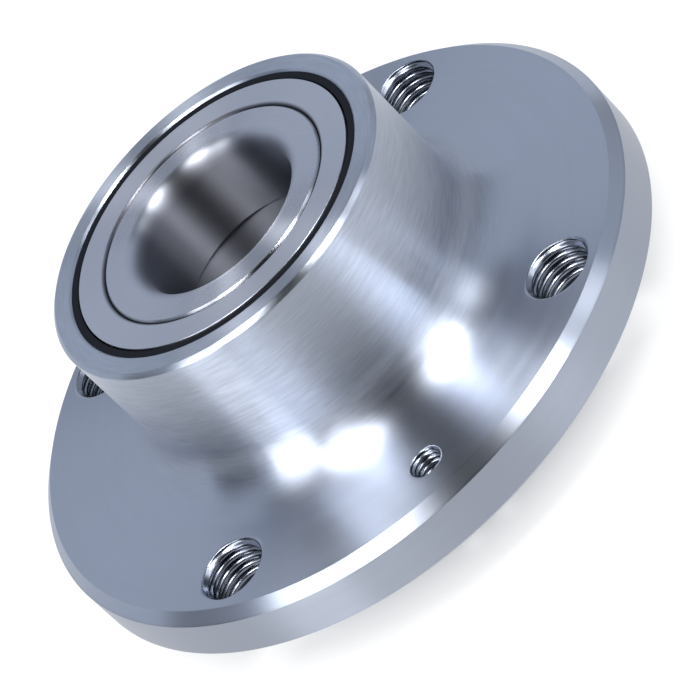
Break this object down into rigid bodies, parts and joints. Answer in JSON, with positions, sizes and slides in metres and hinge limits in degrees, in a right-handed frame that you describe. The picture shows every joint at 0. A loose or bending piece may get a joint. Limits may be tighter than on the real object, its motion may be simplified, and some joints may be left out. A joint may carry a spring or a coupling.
{
  "type": "wheel hub bearing",
  "caption": "Flanged steel wheel hub with an integrated sealed double-row ball bearing, tapped for wheel bolts, turning on a fixed stub axle.",
  "frame": {"origin": "centre of the flange face that the wheel bolts against, on the bearing axis", "axes": "+Z along the bearing axis, inboard, towards the nose of the boss; -Y through the small tapped hole for the disc's locating screw; the wheel bolts lie at 45 degrees between X and Y"},
  "size_m": [0.119, 0.119, 0.0495],
  "materials": {
    "turned_hub_steel": "turned forged steel, fine circular tool marks",
    "ground_bearing_steel": "ground bearing steel, satin",
    "ball_steel": "lapped bearing steel, mirror bright",
    "stainless_flinger": "pressed stainless sheet, satin",
    "pressed_seal_steel": "pressed mild steel sheet",
    "spring_steel": "rolled spring steel",
    "seal_rubber": "moulded nitrile rubber, matt",
    "cage_nylon": "moulded glass-filled nylon"
  },
  "bodies": {
    "hub": {"hub_flange": "turned_hub_steel", "seal_case_inboard": "pressed_seal_steel", "seal_rubber_inboard": "seal_rubber", "seal_case_outboard": "pressed_seal_steel", "seal_rubber_outboard": "seal_rubber"},
    "inner_rings": {"inner_ring_clip": "spring_steel", "inner_ring_inboard": "ground_bearing_steel", "flinger_inboard": "stainless_flinger", "inner_ring_outboard": "ground_bearing_steel", "flinger_outboard": "stainless_flinger"},
    "cage_inboard": {"cage_inboard": "cage_nylon"},
    "ball_inboard_01": {"ball_inboard_01": "ball_steel"},
    "ball_inboard_02": {"ball_inboard_02": "ball_steel"},
    "ball_inboard_03": {"ball_inboard_03": "ball_steel"},
    "ball_inboard_04": {"ball_inboard_04": "ball_steel"},
    "ball_inboard_05": {"ball_inboard_05": "ball_steel"},
    "ball_inboard_06": {"ball_inboard_06": "ball_steel"},
    "ball_inboard_07": {"ball_inboard_07": "ball_steel"},
    "ball_inboard_08": {"ball_inboard_08": "ball_steel"},
    "ball_inboard_09": {"ball_inboard_09": "ball_steel"},
    "ball_inboard_10": {"ball_inboard_10": "ball_steel"},
    "ball_inboard_11": {"ball_inboard_11": "ball_steel"},
    "ball_inboard_12": {"ball_inboard_12": "ball_steel"},
    "cage_outboard": {"cage_outboard": "cage_nylon"},
    "ball_outboard_01": {"ball_outboard_01": "ball_steel"},
    "ball_outboard_02": {"ball_outboard_02": "ball_steel"},
    "ball_outboard_03": {"ball_outboard_03": "ball_steel"},
    "ball_outboard_04": {"ball_outboard_04": "ball_steel"},
    "ball_outboard_05": {"ball_outboard_05": "ball_steel"},
    "ball_outboard_06": {"ball_outboard_06": "ball_steel"},
    "ball_outboard_07": {"ball_outboard_07": "ball_steel"},
    "ball_outboard_08": {"ball_outboard_08": "ball_steel"},
    "ball_outboard_09": {"ball_outboard_09": "ball_steel"},
    "ball_outboard_10": {"ball_outboard_10": "ball_steel"},
    "ball_outboard_11": {"ball_outboard_11": "ball_steel"},
    "ball_outboard_12": {"ball_outboard_12": "ball_steel"}
  },
  "joints": [
    {"name": "bearing_spin", "type": "hinge", "parent": "hub", "child": "inner_rings", "pos_m": [0, 0, 0.0218], "axis": [0, 0, 1], "continuous": true},
    {"name": "cage_inboard_orbit", "type": "hinge", "parent": "hub", "child": "cage_inboard", "pos_m": [0, 0, 0.0282], "axis": [0, 0, 1], "continuous": true},
    {"name": "ball_inboard_01_roll", "type": "hinge", "parent": "cage_inboard", "child": "ball_inboard_01", "pos_m": [0.023, 0, 0.0282], "axis": [0.5736, 0, 0.8192], "continuous": true},
    {"name": "ball_inboard_02_roll", "type": "hinge", "parent": "cage_inboard", "child": "ball_inboard_02", "pos_m": [0.01992, 0.0115, 0.0282], "axis": [0.4967, 0.2868, 0.8192], "continuous": true},
    {"name": "ball_inboard_03_roll", "type": "hinge", "parent": "cage_inboard", "child": "ball_inboard_03", "pos_m": [0.0115, 0.01992, 0.0282], "axis": [0.2868, 0.4967, 0.8192], "continuous": true},
    {"name": "ball_inboard_04_roll", "type": "hinge", "parent": "cage_inboard", "child": "ball_inboard_04", "pos_m": [0, 0.023, 0.0282], "axis": [0, 0.5736, 0.8192], "continuous": true},
    {"name": "ball_inboard_05_roll", "type": "hinge", "parent": "cage_inboard", "child": "ball_inboard_05", "pos_m": [-0.0115, 0.01992, 0.0282], "axis": [-0.2868, 0.4967, 0.8192], "continuous": true},
    {"name": "ball_inboard_06_roll", "type": "hinge", "parent": "cage_inboard", "child": "ball_inboard_06", "pos_m": [-0.01992, 0.0115, 0.0282], "axis": [-0.4967, 0.2868, 0.8192], "continuous": true},
    {"name": "ball_inboard_07_roll", "type": "hinge", "parent": "cage_inboard", "child": "ball_inboard_07", "pos_m": [-0.023, 0, 0.0282], "axis": [-0.5736, 0, 0.8192], "continuous": true},
    {"name": "ball_inboard_08_roll", "type": "hinge", "parent": "cage_inboard", "child": "ball_inboard_08", "pos_m": [-0.01992, -0.0115, 0.0282], "axis": [-0.4967, -0.2868, 0.8192], "continuous": true},
    {"name": "ball_inboard_09_roll", "type": "hinge", "parent": "cage_inboard", "child": "ball_inboard_09", "pos_m": [-0.0115, -0.01992, 0.0282], "axis": [-0.2868, -0.4967, 0.8192], "continuous": true},
    {"name": "ball_inboard_10_roll", "type": "hinge", "parent": "cage_inboard", "child": "ball_inboard_10", "pos_m": [0, -0.023, 0.0282], "axis": [0, -0.5736, 0.8192], "continuous": true},
    {"name": "ball_inboard_11_roll", "type": "hinge", "parent": "cage_inboard", "child": "ball_inboard_11", "pos_m": [0.0115, -0.01992, 0.0282], "axis": [0.2868, -0.4967, 0.8192], "continuous": true},
    {"name": "ball_inboard_12_roll", "type": "hinge", "parent": "cage_inboard", "child": "ball_inboard_12", "pos_m": [0.01992, -0.0115, 0.0282], "axis": [0.4967, -0.2868, 0.8192], "continuous": true},
    {"name": "cage_outboard_orbit", "type": "hinge", "parent": "hub", "child": "cage_outboard", "pos_m": [0, 0, 0.0154], "axis": [0, 0, 1], "continuous": true},
    {"name": "ball_outboard_01_roll", "type": "hinge", "parent": "cage_outboard", "child": "ball_outboard_01", "pos_m": [0.02222, 0.00595, 0.0154], "axis": [-0.554, -0.1485, 0.8192], "continuous": true},
    {"name": "ball_outboard_02_roll", "type": "hinge", "parent": "cage_outboard", "child": "ball_outboard_02", "pos_m": [0.01626, 0.01626, 0.0154], "axis": [-0.4056, -0.4056, 0.8192], "continuous": true},
    {"name": "ball_outboard_03_roll", "type": "hinge", "parent": "cage_outboard", "child": "ball_outboard_03", "pos_m": [0.00595, 0.02222, 0.0154], "axis": [-0.1485, -0.554, 0.8192], "continuous": true},
    {"name": "ball_outboard_04_roll", "type": "hinge", "parent": "cage_outboard", "child": "ball_outboard_04", "pos_m": [-0.00595, 0.02222, 0.0154], "axis": [0.1485, -0.554, 0.8192], "continuous": true},
    {"name": "ball_outboard_05_roll", "type": "hinge", "parent": "cage_outboard", "child": "ball_outboard_05", "pos_m": [-0.01626, 0.01626, 0.0154], "axis": [0.4056, -0.4056, 0.8192], "continuous": true},
    {"name": "ball_outboard_06_roll", "type": "hinge", "parent": "cage_outboard", "child": "ball_outboard_06", "pos_m": [-0.02222, 0.00595, 0.0154], "axis": [0.554, -0.1485, 0.8192], "continuous": true},
    {"name": "ball_outboard_07_roll", "type": "hinge", "parent": "cage_outboard", "child": "ball_outboard_07", "pos_m": [-0.02222, -0.00595, 0.0154], "axis": [0.554, 0.1485, 0.8192], "continuous": true},
    {"name": "ball_outboard_08_roll", "type": "hinge", "parent": "cage_outboard", "child": "ball_outboard_08", "pos_m": [-0.01626, -0.01626, 0.0154], "axis": [0.4056, 0.4056, 0.8192], "continuous": true},
    {"name": "ball_outboard_09_roll", "type": "hinge", "parent": "cage_outboard", "child": "ball_outboard_09", "pos_m": [-0.00595, -0.02222, 0.0154], "axis": [0.1485, 0.554, 0.8192], "continuous": true},
    {"name": "ball_outboard_10_roll", "type": "hinge", "parent": "cage_outboard", "child": "ball_outboard_10", "pos_m": [0.00595, -0.02222, 0.0154], "axis": [-0.1485, 0.554, 0.8192], "continuous": true},
    {"name": "ball_outboard_11_roll", "type": "hinge", "parent": "cage_outboard", "child": "ball_outboard_11", "pos_m": [0.01626, -0.01626, 0.0154], "axis": [-0.4056, 0.4056, 0.8192], "continuous": true},
    {"name": "ball_outboard_12_roll", "type": "hinge", "parent": "cage_outboard", "child": "ball_outboard_12", "pos_m": [0.02222, -0.00595, 0.0154], "axis": [-0.554, 0.1485, 0.8192], "continuous": true}
  ],
  "couplings": [
    {"joint": "cage_inboard_orbit", "follows": "bearing_spin", "ratio": 0.41519},
    {"joint": "ball_inboard_01_roll", "follows": "bearing_spin", "ratio": -2.3452},
    {"joint": "ball_inboard_02_roll", "follows": "bearing_spin", "ratio": -2.3452},
    {"joint": "ball_inboard_03_roll", "follows": "bearing_spin", "ratio": -2.3452},
    {"joint": "ball_inboard_04_roll", "follows": "bearing_spin", "ratio": -2.3452},
    {"joint": "ball_inboard_05_roll", "follows": "bearing_spin", "ratio": -2.3452},
    {"joint": "ball_inboard_06_roll", "follows": "bearing_spin", "ratio": -2.3452},
    {"joint": "ball_inboard_07_roll", "follows": "bearing_spin", "ratio": -2.3452},
    {"joint": "ball_inboard_08_roll", "follows": "bearing_spin", "ratio": -2.3452},
    {"joint": "ball_inboard_09_roll", "follows": "bearing_spin", "ratio": -2.3452},
    {"joint": "ball_inboard_10_roll", "follows": "bearing_spin", "ratio": -2.3452},
    {"joint": "ball_inboard_11_roll", "follows": "bearing_spin", "ratio": -2.3452},
    {"joint": "ball_inboard_12_roll", "follows": "bearing_spin", "ratio": -2.3452},
    {"joint": "cage_outboard_orbit", "follows": "bearing_spin", "ratio": 0.41519},
    {"joint": "ball_outboard_01_roll", "follows": "bearing_spin", "ratio": -2.3452},
    {"joint": "ball_outboard_02_roll", "follows": "bearing_spin", "ratio": -2.3452},
    {"joint": "ball_outboard_03_roll", "follows": "bearing_spin", "ratio": -2.3452},
    {"joint": "ball_outboard_04_roll", "follows": "bearing_spin", "ratio": -2.3452},
    {"joint": "ball_outboard_05_roll", "follows": "bearing_spin", "ratio": -2.3452},
    {"joint": "ball_outboard_06_roll", "follows": "bearing_spin", "ratio": -2.3452},
    {"joint": "ball_outboard_07_roll", "follows": "bearing_spin", "ratio": -2.3452},
    {"joint": "ball_outboard_08_roll", "follows": "bearing_spin", "ratio": -2.3452},
    {"joint": "ball_outboard_09_roll", "follows": "bearing_spin", "ratio": -2.3452},
    {"joint": "ball_outboard_10_roll", "follows": "bearing_spin", "ratio": -2.3452},
    {"joint": "ball_outboard_11_roll", "follows": "bearing_spin", "ratio": -2.3452},
    {"joint": "ball_outboard_12_roll", "follows": "bearing_spin", "ratio": -2.3452}
  ]
}
